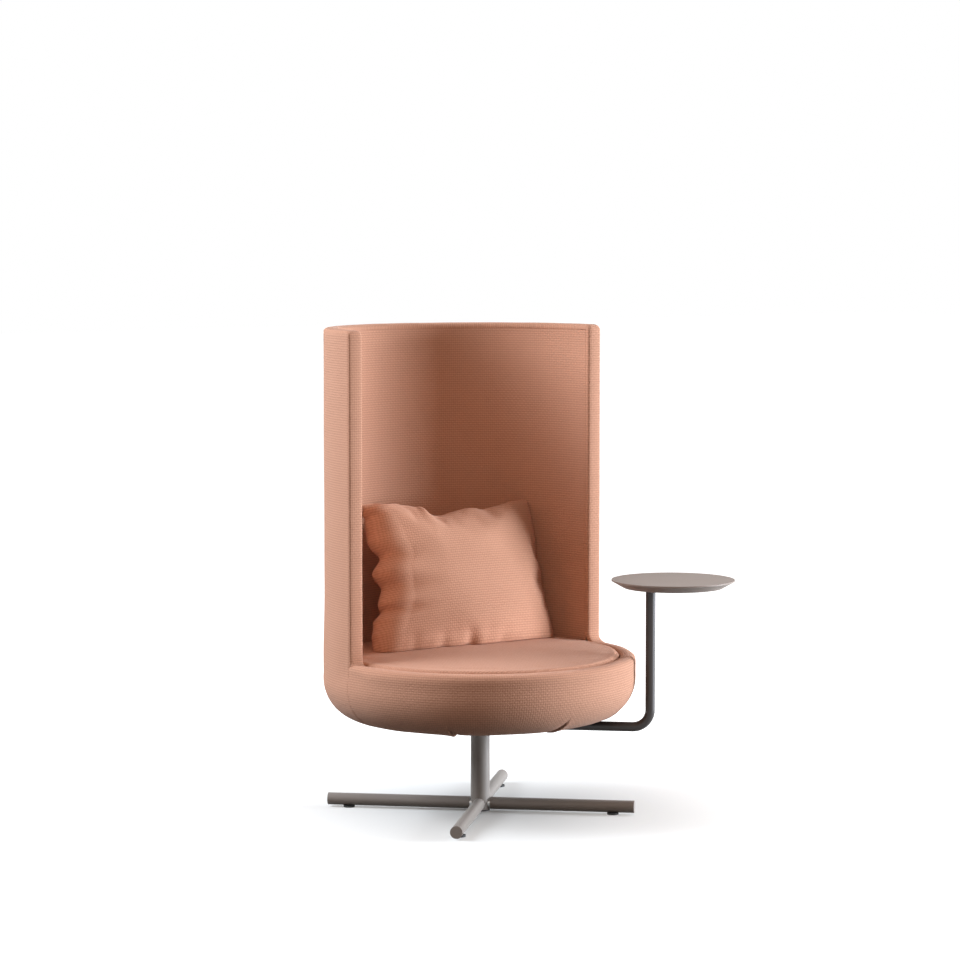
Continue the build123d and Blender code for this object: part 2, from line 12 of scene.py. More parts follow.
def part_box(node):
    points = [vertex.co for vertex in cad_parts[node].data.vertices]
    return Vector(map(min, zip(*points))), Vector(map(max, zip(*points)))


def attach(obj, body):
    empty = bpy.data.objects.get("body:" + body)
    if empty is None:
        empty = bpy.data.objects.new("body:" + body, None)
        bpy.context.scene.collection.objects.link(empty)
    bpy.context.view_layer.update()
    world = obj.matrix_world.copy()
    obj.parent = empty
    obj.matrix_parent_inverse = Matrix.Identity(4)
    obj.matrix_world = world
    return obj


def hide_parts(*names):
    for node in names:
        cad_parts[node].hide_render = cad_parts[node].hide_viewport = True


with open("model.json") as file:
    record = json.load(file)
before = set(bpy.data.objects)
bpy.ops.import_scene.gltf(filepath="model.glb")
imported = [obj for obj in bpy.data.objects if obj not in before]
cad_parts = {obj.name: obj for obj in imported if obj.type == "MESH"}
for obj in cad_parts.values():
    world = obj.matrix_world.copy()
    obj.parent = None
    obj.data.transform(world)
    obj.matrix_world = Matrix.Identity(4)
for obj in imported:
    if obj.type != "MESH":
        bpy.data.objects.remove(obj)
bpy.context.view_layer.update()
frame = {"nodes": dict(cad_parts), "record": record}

# Sizes of the chair, in metres and degrees
DRUM_RADIUS = 0.405
WALL_INNER = 0.364
WALL_MIDDLE = (DRUM_RADIUS + WALL_INNER) / 2
UNDERSIDE = 0.2522
DRUM_CORNER = 0.115
DRUM_FLAT = DRUM_RADIUS - DRUM_CORNER
CORNER_TOP = UNDERSIDE + DRUM_CORNER
FLAP_RADIUS = 0.260
RING_TOP = 0.4152
RING_INNER = 0.3652
RING_INNER_ROUND = 0.006
RING_LIP_ROUND = 0.014
TUCK_DEPTH = 0.035
BACK_TOP = 1.2642
EDGE_ANGLE = 1.0

# Sewing
SEAM_SIDE_ANGLE = 1.85
SEAM_INNER_ANGLE = 2.92
SEAM_OUTER_TOP = BACK_TOP - 0.0100
SEAM_INNER_TOP = BACK_TOP - 0.0122
ROLL_WIDTH = 0.0065
ROLL_DEPTH = 0.0034
FINE_SEAM = 0.15
EDGE_SEAM = 0.6
DRUM_SEAM = 0.16
TUCK_SEAM = 0.8
COVER_THICKNESS = 0.002

# The edge strip runs up one front edge of the back, along its top and down the other edge
STRIP_BEND = 0.016
LEFT_FOOT = 0.014
RIGHT_FOOT = 0.027
FOOT_STEPS = 14
CLIMB_STEPS = 84

# Darts gather the covers at the lower edge of the drum: angle at the bottom, lean, height and depth
FRONT_DARTS = [(221.5, -1.0, 0.034, 0.0090), (267.6, 2.6, 0.042, 0.0066), (305.0, 2.0, 0.050, 0.0046),
               (341.0, 1.5, 0.040, 0.0066)]
REAR_DARTS = [(134.0, -1.5, 0.045, 0.0072), (91.0, 2.5, 0.050, 0.0072), (46.0, -2.0, 0.045, 0.0072)]
DART_FOLD = 0.016
DART_TUCK = 0.007

# How far the padding stands out on the drum, and more on its round lower edge, and at which angle most
SWELL = 0.0018
CORNER_SWELL = 0.0054
SWELL_ANGLE = 143

# Seat cushion: its rim over the ring, where the rim starts to fall away, how far and over what width
RIM_RISE = 0.005
RIM_START = 0.352
RIM_FALL = 0.008
RIM_WIDTH = 0.0097
# Its size before it is stuffed, as a share, and the hollow where people sit
UNSTUFFED_WIDTH = 0.997
UNSTUFFED_HEIGHT = 0.985
HOLLOW_X = 0.10
HOLLOW_Y = 0.06
HOLLOW_DEPTH = 0.004
HOLLOW_SPREAD = 0.020

# Pillow
PILLOW_WIDTH = 0.600
PILLOW_HEIGHT = 0.392
PILLOW_THICKNESS = 0.140
PILLOW_TILT = 15.5
PILLOW_ASIDE = 0.010
# How far its top edge is pulled up or pushed down: place across and height
PILLOW_TOP = [(-0.30, 0.040), (-0.22, 0.041), (-0.077, 0.015), (-0.010, -0.014), (0.12, -0.003),
              (0.30, 0.020)]
# Creases in its front: middle across and up, width, height and depth
PILLOW_CREASES = [
    (-0.172, -0.165, 0.016, 0.030, 0.005), (-0.083, -0.168, 0.018, 0.028, 0.006),
    (0.008, -0.168, 0.016, 0.024, 0.005), (-0.190, 0.082, 0.045, 0.018, 0.011),
    (-0.172, 0.000, 0.065, 0.020, 0.015), (-0.186, -0.062, 0.050, 0.013, 0.012),
]
# How far its left end is squashed in: place up and distance
PILLOW_LEFT = [(-0.175, 0.0), (-0.130, 0.017), (-0.092, 0.032), (-0.060, 0.054), (0.004, 0.068),
               (0.040, 0.060), (0.078, 0.078), (0.135, 0.062), (0.188, 0.052), (0.214, 0.026), (0.238, 0.0)]
SQUASH_START = -0.050
# The lines beyond which its left end and its foot are rolled back, the rolls' radii and how far they turn
LEFT_LINE = -0.216
LEFT_ROLL = 0.030
LEFT_TURN = 125
FOOT_LINE = -0.140
FOOT_ROLL = 0.040
FOOT_TURN = 60
WALL_CLEARANCE = 0.0015
PAD_CLEARANCE = 0.0006
SETTLING = 0.012

# Stitches in the edge strip's outer and inner seams: distance from the middle, height over the face
OUTER_STITCH = (0.0192, -0.0063)
INNER_STITCH = (-0.0192, -0.0124)

# Underside cloth and its staples
CLOTH_HOLE = 0.113
CLOTH_RADIUS = 0.258
CLOTH_LEVEL = 0.2526
CLOTH_THICKNESS = 0.0008
STAPLE_RADIUS = 0.254
STAPLE_LEVEL = 0.2520

WEAVE = "weave"
AMBIENT_TINT = (1.0, 0.64, 0.48)
LAMP_TINT = (0.92, 1.0, 1.11)


def evenly(first, last, steps):
    """Numbers from first to last in equal steps."""
    return [first + (last - first) * i / steps for i in range(steps + 1)]


def arc(centre, radius, start, end, steps=28):
    """Points of radius and height on an arc."""
    return [(centre[0] + radius * cos(radians(a)), centre[1] + radius * sin(radians(a)))
            for a in evenly(start, end, steps)]


def close_at_ends(length, step):
    """Distances along a length, close together at both ends, where cloth turns into a seam."""
    near = [0, 0.0007, 0.0015, 0.0024, 0.0035, 0.0049, 0.0066, 0.0090, 0.0125]
    count = max(2, round((length - 2 * near[-1]) / step))
    middle = evenly(near[-1], length - near[-1], count)
    return near[:-1] + middle + [length - d for d in reversed(near[:-1])]


def walk(line, distances):
    """(point, normal) at each distance along a line; the normal is on its left."""
    lengths = [0.0]
    for a, b in zip(line, line[1:]):
        lengths.append(lengths[-1] + hypot(b[0] - a[0], b[1] - a[1]))

    def at(distance):
        distance = min(max(distance, 0.0), lengths[-1])
        i = 0
        while i < len(line) - 2 and lengths[i + 1] < distance:
            i += 1
        share = (distance - lengths[i]) / (lengths[i + 1] - lengths[i])
        return tuple(p + (q - p) * share for p, q in zip(line[i], line[i + 1]))

    found = []
    reach = 0.0008
    for distance in distances:
        before = at(distance - reach)
        after = at(distance + reach)
        run = hypot(after[0] - before[0], after[1] - before[1])
        found.append((at(distance), (-(after[1] - before[1]) / run, (after[0] - before[0]) / run)))
    return found


def line_length(line):
    return sum(hypot(b[0] - a[0], b[1] - a[1]) for a, b in zip(line, line[1:]))


def roll(distance):
    """How deep cloth lies below its panel at a distance from a sewn edge."""
    share = 1 - min(distance / ROLL_WIDTH, 1)
    return ROLL_DEPTH * (1 - sqrt(1 - share ** 2))


def smooth_step(value, low, high):
    """0 below a range, 1 above it and a smooth rise between."""
    share = min(max((value - low) / (high - low), 0), 1)
    return share * share * (3 - 2 * share)


def unevenness(x, y, z, size, seed):
    """Soft hand-made unevenness from -1 to 1."""
    return noise.noise(Vector((x / size + seed, y / size - seed, z / size + 2 * seed)))


def new_mesh_object(name, vertices, faces, uvs=None):
    """A mesh object in the scene, with the weave's flat coordinates, in metres, where they are given."""
    mesh = bpy.data.meshes.new(name)
    mesh.from_pydata(vertices, [], faces)
    mesh.polygons.foreach_set("use_smooth", [True] * len(mesh.polygons))
    if uvs:
        layer = mesh.uv_layers.new(name=WEAVE)
        for loop in mesh.loops:
            layer.data[loop.index].uv = uvs[loop.vertex_index]
    obj = bpy.data.objects.new(name, mesh)
    bpy.context.scene.collection.objects.link(obj)
    return obj


def grid_faces(rows, columns):
    """Faces of a grid of points whose rows follow a line and whose columns go round."""
    return [(i * columns + j, (i + 1) * columns + j, (i + 1) * columns + j + 1, i * columns + j + 1)
            for i in range(rows - 1) for j in range(columns - 1)]


def settle(obj):
    """Turns an object and its modifiers into a plain mesh."""
    graph = bpy.context.evaluated_depsgraph_get()
    mesh = bpy.data.meshes.new_from_object(obj.evaluated_get(graph))
    obj.modifiers.clear()
    obj.data = mesh
    return obj


def thicken(obj, thickness):
    """Gives a cloth surface its thickness, inwards."""
    solid = obj.modifiers.new("Thickness", "SOLIDIFY")
    solid.thickness = thickness
    solid.offset = -1
    return settle(obj)


# Sewn covers of the back and the drum


def turned_panel(name, line, angles, relief, seam_start, seam_end, seam_side):
    """Cloth that follows a line of radius and height round the Z axis.

    The seams say how deep each edge of the cloth lies, as a share: at the line's start, at its end, and at
    its sides by height."""
    length = line_length(line)
    distances = close_at_ends(length, 0.010)
    points = walk(line, distances)
    vertices, uvs = [], []
    for distance, ((radius, height), (out, up)) in zip(distances, points):
        for angle in angles:
            beside = radius * radians(min(angle - angles[0], angles[-1] - angle))
            sunk = max(seam_start * roll(distance), seam_end * roll(length - distance),
                       seam_side(height) * roll(beside))
            push = relief(angle, radius, height) - sunk
            turn = radians(angle)
            across = radius + out * push
            vertices.append((across * cos(turn), across * sin(turn), height + up * push))
            uvs.append((DRUM_RADIUS * turn, -distance))
    panel = new_mesh_object(name, vertices, grid_faces(len(distances), len(angles)), uvs)
    return thicken(panel, COVER_THICKNESS)


def panel_angles(first, last, darts):
    """Angles round a panel: close together at its sides and beside each dart."""
    length = DRUM_RADIUS * radians(last - first)
    angles = [first + degrees(d / DRUM_RADIUS) for d in close_at_ends(length, 0.011)]
    for centre, lean, _, _ in darts:
        low, high = sorted((centre, centre + lean))
        near = evenly(low - 3, high + 3, 36)
        angles += [a for a in near if first + 2 < a < last - 2]
    kept = []
    for angle in sorted(angles):
        if not kept or angle - kept[-1] > 0.03:
            kept.append(angle)
    return kept


def dart_relief(darts, angle, radius, height):
    """The folded-over tuck of each dart on the round lower edge of the drum."""
    push = 0.0
    for centre, lean, rise, depth in darts:
        risen = min(max((height - UNDERSIDE) / rise, 0), 1)
        if risen >= 1 or abs(angle - centre) > 12:
            continue
        fade = 1 - risen ** 2
        along = radians(angle - centre - lean * risen) * radius
        offset = along if lean > 0 else -along
        if offset >= 0:
            push += 0.5 * depth * fade * exp(-offset / DART_FOLD)
        else:
            push -= depth * fade * exp(offset / DART_TUCK)
    return push


def side_seam(height):
    """The side seam of the back lies deep beside the edge strip, is faint on the drum and ends in a tuck."""
    above = smooth_step(height, RING_TOP - 0.025, RING_TOP + 0.005)
    below = 1 - smooth_step(height, UNDERSIDE + 0.020, UNDERSIDE + 0.075)
    return DRUM_SEAM + (EDGE_SEAM - DRUM_SEAM) * above + (TUCK_SEAM - DRUM_SEAM) * below


def padding_swell(angle, radius, height):
    """How far the padding stands out on the drum, most on its round lower edge and on its left."""
    left = cos(radians(angle - SWELL_ANGLE))
    swell = SWELL * (1 + 0.8 * left)
    if height > CORNER_TOP:
        swell *= 1 - smooth_step(height, RING_TOP - 0.005, 0.600)
    elif radius > DRUM_FLAT:
        swell += CORNER_SWELL * (1 + 0.2 * left) * sin(2 * atan2(CORNER_TOP - height, radius - DRUM_FLAT))
    else:
        swell *= smooth_step(radius, FLAP_RADIUS + 0.003, DRUM_FLAT)
    # It goes to nothing beside the feet of the edge strip
    beside = radius * radians(min(abs(angle - 180), angle % 360, 360 - angle % 360))
    below = 1 - smooth_step(height, CORNER_TOP - 0.005, RING_TOP - 0.010)
    return swell * max(smooth_step(beside, 0.005, 0.080), below)


def lower_edge():
    """The round lower edge of the drum, from its side to its underside."""
    return arc((DRUM_FLAT, CORNER_TOP), DRUM_CORNER, 0, -90)


def back_outer_panel():
    """The cover of the outside of the back and of the rear half of the drum."""
    line = [(DRUM_RADIUS, SEAM_OUTER_TOP), (DRUM_RADIUS, CORNER_TOP)]
    line += lower_edge()[1:]
    line.append((FLAP_RADIUS, UNDERSIDE))

    def relief(angle, radius, height):
        turn = radians(angle)
        wave = 0.0007 * unevenness(0.4 * cos(turn), 0.4 * sin(turn), 0.6 * height, 0.11, 3.1)
        return wave + padding_swell(angle, radius, height) + dart_relief(REAR_DARTS, angle, radius, height)

    angles = panel_angles(SEAM_SIDE_ANGLE, 180 - SEAM_SIDE_ANGLE, REAR_DARTS)
    return turned_panel("back_outer_panel", line, angles, relief, FINE_SEAM, 0, side_seam)


def back_inner_panel():
    """The padded cover of the inside of the back, tucked down behind the seat cushion."""
    line = [(WALL_INNER, RING_TOP - TUCK_DEPTH), (WALL_INNER, SEAM_INNER_TOP)]

    def relief(angle, radius, height):
        turn = radians(angle)
        wave = 0.0011 * unevenness(0.36 * cos(turn), 0.36 * sin(turn), 0.5 * height, 0.13, 7.7)
        return wave - 0.0006

    angles = panel_angles(SEAM_INNER_ANGLE, 180 - SEAM_INNER_ANGLE, [])
    return turned_panel("back_inner_panel", line, angles, relief, 0, FINE_SEAM, lambda height: 0.8)


def seat_drum_panel():
    """The cover of the front half of the drum: over the ring's edge, down its side and under it."""
    line = [(RING_INNER, RING_TOP - TUCK_DEPTH)]
    line += arc((RING_INNER + RING_INNER_ROUND, RING_TOP - RING_INNER_ROUND), RING_INNER_ROUND, 180, 90, 12)
    line += arc((DRUM_RADIUS - RING_LIP_ROUND, RING_TOP - RING_LIP_ROUND), RING_LIP_ROUND, 90, 0, 14)
    line += lower_edge()
    line.append((FLAP_RADIUS, UNDERSIDE))

    def relief(angle, radius, height):
        turn = radians(angle)
        wave = 0.0007 * unevenness(0.4 * cos(turn), 0.4 * sin(turn), 0.8 * height, 0.10, 5.3)
        beside = radius * radians(min(angle - 180, 360 - angle))
        out = (radius - DRUM_RADIUS + RING_LIP_ROUND) / RING_LIP_ROUND
        up = (height - RING_TOP + RING_LIP_ROUND) / RING_LIP_ROUND
        if out > 0 and up > 0:
            # The lip's edge is sharper beside the side seams, most on the left
            sharp = 0.0038 if angle < 270 else 0.0010
            wave += sharp * sin(2 * atan2(up, out)) * (1 - smooth_step(beside, 0.005, 0.060))
        if radius > DRUM_RADIUS - RING_LIP_ROUND or height < CORNER_TOP:
            wave += padding_swell(angle, radius, height) * (1 - smooth_step(up, 0, 1))
        return wave + dart_relief(FRONT_DARTS, angle, radius, height)

    angles = panel_angles(180 - SEAM_SIDE_ANGLE, 360 + SEAM_SIDE_ANGLE, FRONT_DARTS)
    return turned_panel("seat_drum_panel", line, angles, relief, 0, 0, side_seam)


# Across the edge strip from its outer edge to its inner one: distance from the middle, height over the face
EDGE_SECTION = [
    (0.0166, -0.0088), (0.0184, -0.0072), (0.0197, -0.0056), (0.0203, -0.0040), (0.0199, -0.0026),
    (0.0188, -0.0014), (0.0170, -0.0005), (0.0145, 0.0000), (0.0100, 0.0004), (0.0050, 0.0007), (0.0, 0.0008),
    (-0.0050, 0.0007), (-0.0100, 0.0004), (-0.0140, -0.0001), (-0.0167, -0.0009), (-0.0189, -0.0026),
    (-0.0201, -0.0050), (-0.0205, -0.0078), (-0.0205, -0.0098), (-0.0201, -0.0113), (-0.0189, -0.0126),
    (-0.0170, -0.0138),
]
# The same across the top of the back, where the covers lie flush
TOP_SECTION = [
    (0.0190, -0.0132), (0.0199, -0.0118), (0.0203, -0.0104), (0.0204, -0.0088), (0.0200, -0.0064),
    (0.0186, -0.0036), (0.0163, -0.0016), (0.0135, -0.0005), (0.0098, 0.0001), (0.0050, 0.0004),
    (0.0, 0.0005), (-0.0050, 0.0004), (-0.0098, 0.0001), (-0.0135, -0.0005), (-0.0163, -0.0016),
    (-0.0186, -0.0036), (-0.0200, -0.0064), (-0.0204, -0.0090), (-0.0204, -0.0108), (-0.0203, -0.0122),
    (-0.0199, -0.0134), (-0.0190, -0.0146),
]


def strip_route(foot):
    """Stations up a front edge of the back: forward distance, height, facing, plain height and share of top.

    The facing is the angle of the strip's outside above straight ahead. The plain height is for the strip's
    outer side, which runs straight down into the drum where the rest turns forward onto the ring."""
    route = []
    foot_top = RING_TOP + foot
    for turn in evenly(90, 0, FOOT_STEPS):
        forward = foot * (1 - cos(radians(turn)))
        plain = foot_top - (foot + 0.018) * turn / 90
        route.append((forward, foot_top - foot * sin(radians(turn)), turn, plain, 0))
    forward, height, turn, plain, _ = route[0]
    route[0] = (forward + 0.004, height - 0.0030, turn, plain, 0)
    bend_z = BACK_TOP - STRIP_BEND
    for height in evenly(foot_top, bend_z, CLIMB_STEPS)[1:]:
        route.append((0.0, height, 0.0, height, 0))
    for turn in evenly(0, 90, 10)[1:]:
        forward = -STRIP_BEND + STRIP_BEND * cos(radians(turn))
        height = bend_z + STRIP_BEND * sin(radians(turn))
        route.append((forward, height, turn, None, smooth_step(turn, 10, 80)))
    return route


def strip_frame(angle, height, facing, forward_way):
    """(middle point, outward across, outside) of the strip at an angle and a height."""
    turn = radians(angle)
    across = Vector((cos(turn), sin(turn), 0))
    ahead = Vector((-sin(turn), cos(turn), 0)) * forward_way
    out = ahead * cos(radians(facing)) + Vector((0, 0, 1)) * sin(radians(facing))
    return across * WALL_MIDDLE + Vector((0, 0, height)), across, out


def strip_stations():
    """(frame, plain frame, share of top) at every station of the edge strip, from one foot to the other."""
    stations = []

    def climb(edge, way, steps):
        for forward, height, facing, plain, top in steps:
            there = strip_frame(edge + way * degrees(forward / WALL_MIDDLE), height, facing, way)
            straight = there if plain is None else strip_frame(edge, plain, 0, way)
            stations.append((there, straight, top))

    climb(180 - EDGE_ANGLE, 1, strip_route(LEFT_FOOT))
    start = EDGE_ANGLE + degrees(STRIP_BEND / WALL_MIDDLE)
    for angle in evenly(180 - start, start, 120)[1:-1]:
        there = strip_frame(angle, BACK_TOP, 90, 1)
        stations.append((there, there, 1))
    climb(EDGE_ANGLE, -1, reversed(strip_route(RIGHT_FOOT)))
    return stations


def strip_point(frame_at, section):
    at, across, out = frame_at
    return at + across * section[0] + out * section[1]


def back_edge_strip():
    """The sewn strip on the front edges and the top of the back."""
    vertices, uvs = [], []
    walked = 0.0
    before = None
    for there, straight, top in strip_stations():
        at, _, out = there
        walked += (at - before).length if before else 0.0
        before = at
        swell = out * 0.0005 * unevenness(*at, 0.07, 1.7)
        for edge, over in zip(EDGE_SECTION, TOP_SECTION):
            section = [a + (b - a) * top for a, b in zip(edge, over)]
            turned = strip_point(there, section)
            plain = strip_point(straight, section)
            sunk = max(0.0, RING_TOP - 0.004 - plain.z)
            plain -= straight[1] * min(0.003, sunk)
            share = smooth_step(0.0200 - section[0], 0, 0.0050)
            vertices.append(tuple(plain.lerp(turned, share) + swell))
            uvs.append((section[0], walked))
    columns = len(EDGE_SECTION)
    strip = new_mesh_object("back_edge_strip", vertices, grid_faces(len(vertices) // columns, columns), uvs)
    top_face = max(strip.data.polygons, key=lambda face: face.center.z)
    if top_face.normal.z < 0:
        strip.data.flip_normals()
    return thicken(strip, COVER_THICKNESS)


# Cushions


def copy_of_node(node, name):
    """A merged copy of a CAD node's mesh, as a new object."""
    mesh = frame["nodes"][node].data.copy()
    obj = bpy.data.objects.new(name, mesh)
    bpy.context.scene.collection.objects.link(obj)
    mesh.materials.clear()
    work = bmesh.new()
    work.from_mesh(mesh)
    bmesh.ops.remove_doubles(work, verts=work.verts, dist=1e-5)
    work.to_mesh(mesh)
    work.free()
    return obj


def remesh(obj, voxel):
    modifier = obj.modifiers.new("Remesh", "REMESH")
    modifier.mode = "VOXEL"
    modifier.voxel_size = voxel
    return settle(obj)


def subdivide(obj):
    modifier = obj.modifiers.new("Smooth", "SUBSURF")
    modifier.levels = 1
    modifier.render_levels = 1
    return settle(obj)


def simulate_stuffing(obj, pressure, frames, cap, stiffness, give, bending):
    """Swells a closed cloth piece by its stuffing, each point by no more than the cap, as a plain mesh."""
    rest = [v.co.copy() for v in obj.data.vertices]
    cloth = obj.modifiers.new("Cloth", "CLOTH")
    settings = cloth.settings
    settings.quality = 6
    settings.mass = 0.25
    settings.tension_stiffness = stiffness
    settings.compression_stiffness = stiffness * give
    settings.shear_stiffness = stiffness / 3
    settings.bending_stiffness = bending
    settings.air_damping = 2.0
    settings.use_pressure = True
    settings.uniform_pressure_force = pressure
    settings.effector_weights.gravity = 0
    cloth.collision_settings.use_collision = False
    cloth.point_cache.frame_start = 1
    cloth.point_cache.frame_end = frames
    scene = bpy.context.scene
    for number in range(1, frames + 1):
        scene.frame_set(number)
    graph = bpy.context.evaluated_depsgraph_get()
    moved = obj.evaluated_get(graph).to_mesh()
    swelled = [v.co.copy() for v in moved.vertices]
    obj.modifiers.clear()
    scene.frame_set(1)
    for vertex, start, end in zip(obj.data.vertices, rest, swelled):
        step = end - start
        if step.length > cap:
            step *= cap / step.length
        vertex.co = start + step
    obj.data.update()


def smooth_points(obj, rounds, share):
    """Evens out a mesh a little."""
    work = bmesh.new()
    work.from_mesh(obj.data)
    for _ in range(rounds):
        bmesh.ops.smooth_vert(work, verts=work.verts, factor=share, use_axis_x=True, use_axis_y=True,
                              use_axis_z=True)
    work.to_mesh(obj.data)
    work.free()


def lay_weave(obj, coordinates):
    """Writes the weave's flat coordinates, in metres, from a function of a face's normal and a point."""
    mesh = obj.data
    layer = mesh.uv_layers.get(WEAVE) or mesh.uv_layers.new(name=WEAVE)
    for face in mesh.polygons:
        for index in face.loop_indices:
            point = mesh.vertices[mesh.loops[index].vertex_index].co
            layer.data[index].uv = coordinates(face.normal, point)
    mesh.polygons.foreach_set("use_smooth", [True] * len(mesh.polygons))


def seat_cushion():
    """The round seat cushion: crowned, with a soft rim and a shallow hollow where people sit."""
    cushion = copy_of_node("seat_pad", "seat_cushion")
    remesh(cushion, 0.007)
    low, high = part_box("seat_pad")
    middle = (low.z + high.z) / 2
    limit = WALL_INNER - WALL_CLEARANCE - 0.0008
    for vertex in cushion.data.vertices:
        vertex.co.x *= UNSTUFFED_WIDTH
        vertex.co.y *= UNSTUFFED_WIDTH
        vertex.co.z = middle + (vertex.co.z - middle) * UNSTUFFED_HEIGHT
    simulate_stuffing(cushion, pressure=3.0, frames=16, cap=0.004, stiffness=25, give=1, bending=4)
    smooth_points(cushion, 1, 0.5)
    for vertex in cushion.data.vertices:
        point = vertex.co
        reach = hypot(point.x, point.y)
        full = min(limit, reach + 0.0060 * smooth_step(reach, 0.320, 0.350))
        if reach > 0:
            point.x *= full / reach
            point.y *= full / reach
        if point.z > middle:
            # The rim is stuffed full, up to the top of the ring
            rim = RING_TOP + RIM_RISE - RIM_FALL * (max(0.0, full - RIM_START) / RIM_WIDTH) ** 2
            lift = max(0.0, rim - point.z) * smooth_step(vertex.normal.z, 0.10, 0.40)
            point.z += lift * smooth_step(full, 0.290, 0.330)
            apart = (point.x - HOLLOW_X) ** 2 + (point.y - HOLLOW_Y) ** 2
            dip = HOLLOW_DEPTH * exp(-apart / HOLLOW_SPREAD)
            wave = 0.0008 * unevenness(point.x, point.y, 0, 0.12, 2.2)
            point.z += wave - dip
        point.z = min(max(point.z, low.z), high.z + 0.002)
    subdivide(cushion)

    def flat(normal, point):
        if abs(normal.z) > 0.6:
            return (point.x, point.y)
        return (WALL_INNER * atan2(point.y, point.x), point.z)

    lay_weave(cushion, flat)
    return cushion


def pillow_sheets(columns, rows):
    """Two sheets of cloth sewn at their edges, a little apart inside, as a closed mesh in their own plane.

    The edges are cut round, so that they come straight when the pillow is stuffed."""
    vertices, faces, index = [], [], {}
    for side in (-1, 1):
        for i in range(rows + 1):
            for j in range(columns + 1):
                edge = i in (0, rows) or j in (0, columns)
                key = (0 if edge else side, i, j)
                if key in index:
                    continue
                u = 2 * j / columns - 1
                v = 2 * i / rows - 1
                x = u * (PILLOW_WIDTH / 2 + 0.020 * (1 - v ** 2))
                z = v * (PILLOW_HEIGHT / 2 + 0.040 * (1 - u ** 2))
                depth = 0.0 if edge else side * 0.020 * sqrt(max(0.0, (1 - u ** 2) * (1 - v ** 2)))
                depth += 0.0 if edge else 0.0020 * unevenness(x, side, z, 0.05, 4.4)
                index[key] = len(vertices)
                vertices.append((x, depth, z))
    for side in (-1, 1):
        for i in range(rows):
            for j in range(columns):
                corners = []
                for a, b in ((i, j), (i, j + 1), (i + 1, j + 1), (i + 1, j)):
                    edge = a in (0, rows) or b in (0, columns)
                    corners.append(index[(0 if edge else side, a, b)])
                faces.append(corners if side < 0 else corners[::-1])
    return vertices, faces


def height_along(places, x):
    """The height at x of a smooth line through a few places."""
    for (x0, z0), (x1, z1) in zip(places, places[1:]):
        if x <= x1:
            return z0 + (z1 - z0) * smooth_step(x, x0, x1)
    return places[-1][1]


def rolled_back(beyond, depth, radius, most):
    """(beyond, depth) of a point when what lies beyond a line is rolled backwards round a radius."""
    turn = min(beyond / radius, most)
    extra = beyond - turn * radius
    reach = radius + depth
    return reach * sin(turn) + extra * cos(turn), reach * cos(turn) - radius - extra * sin(turn)


def plump(point):
    """Pushes a pillow into shape: its top pulled up at both corners and dented between them, its left end
    squashed in and rolled back, its foot rolled back, and creases."""
    share = max(0.0, point.z / (PILLOW_HEIGHT / 2))
    point.z += height_along(PILLOW_TOP, point.x) * share ** 2
    corner = smooth_step(point.x, 0.16, 0.30) * smooth_step(-point.z, 0.06, 0.186)
    inwards = height_along(PILLOW_LEFT, point.z)
    share = min(max((SQUASH_START - point.x) / (SQUASH_START - LEFT_LINE), 0.0), 1.0)
    point.x += 0.012 * corner + inwards * share
    left = inwards + LEFT_LINE
    if point.y < 0:
        push = sum(depth * exp(-((point.x - x) / wide) ** 2 - ((point.z - z) / tall) ** 2)
                   for x, z, wide, tall, depth in PILLOW_CREASES)
        point.y += min(push, max(0.0, -point.y - 0.003))
    if point.z < FOOT_LINE:
        most = radians(FOOT_TURN) * (1 - smooth_step(point.x, 0.16, 0.28))
        beyond, depth = rolled_back(FOOT_LINE - point.z, -point.y, FOOT_ROLL, most)
        point.z = FOOT_LINE - beyond
        point.y = -depth
    if point.x < left:
        most = radians(LEFT_TURN) * (1 - smooth_step(point.z, 0.184, 0.226))
        beyond, depth = rolled_back(left - point.x, -point.y, LEFT_ROLL, most)
        point.x = left - beyond
        point.y = -depth


def loose_pillow(cushion):
    """The loose pillow: stuffed cloth with thin corners, leaning back on the seat cushion."""
    vertices, faces = pillow_sheets(104, 66)
    pillow = new_mesh_object("loose_pillow", vertices, faces)
    simulate_stuffing(pillow, pressure=3.0, frames=30, cap=0.120, stiffness=30, give=0.2, bending=2)
    smooth_points(pillow, 12, 0.5)
    subdivide(pillow)
    points = [v.co for v in pillow.data.vertices]
    sizes = [max(p[axis] for p in points) - min(p[axis] for p in points) for axis in range(3)]
    for point in points:
        for axis, size in enumerate((PILLOW_WIDTH, PILLOW_THICKNESS, PILLOW_HEIGHT)):
            point[axis] *= size / sizes[axis]
        plump(point)
    lay_weave(pillow, lambda normal, point: (point.x, point.z))

    tilt = radians(PILLOW_TILT)
    pillow.data.transform(Matrix.Rotation(-tilt, 4, "X"))
    low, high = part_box("pillow")
    shift = Vector((PILLOW_ASIDE, (low.y + high.y) / 2, high.z - PILLOW_HEIGHT / 2 * cos(tilt) - 0.002))
    seat = BVHTree.FromObject(cushion, bpy.context.evaluated_depsgraph_get())
    limit = WALL_INNER - WALL_CLEARANCE - 0.0016
    for vertex in pillow.data.vertices:
        point = vertex.co
        point += shift
        reach = hypot(point.x, point.y)
        if reach > limit and point.y > 0:
            point.x *= limit / reach
            point.y *= limit / reach
        under = seat.ray_cast(Vector((point.x, point.y, RING_TOP + 0.2)), Vector((0, 0, -1)))[0]
        floor_z = under.z + PAD_CLEARANCE if under else RING_TOP
        gap = point.z - floor_z
        if gap < SETTLING:
            # Cloth near the seat settles onto it
            point.z = floor_z + (0.0 if gap < 0 else gap * gap / SETTLING)
    pillow.data.update()
    return pillow


# Underside cloth


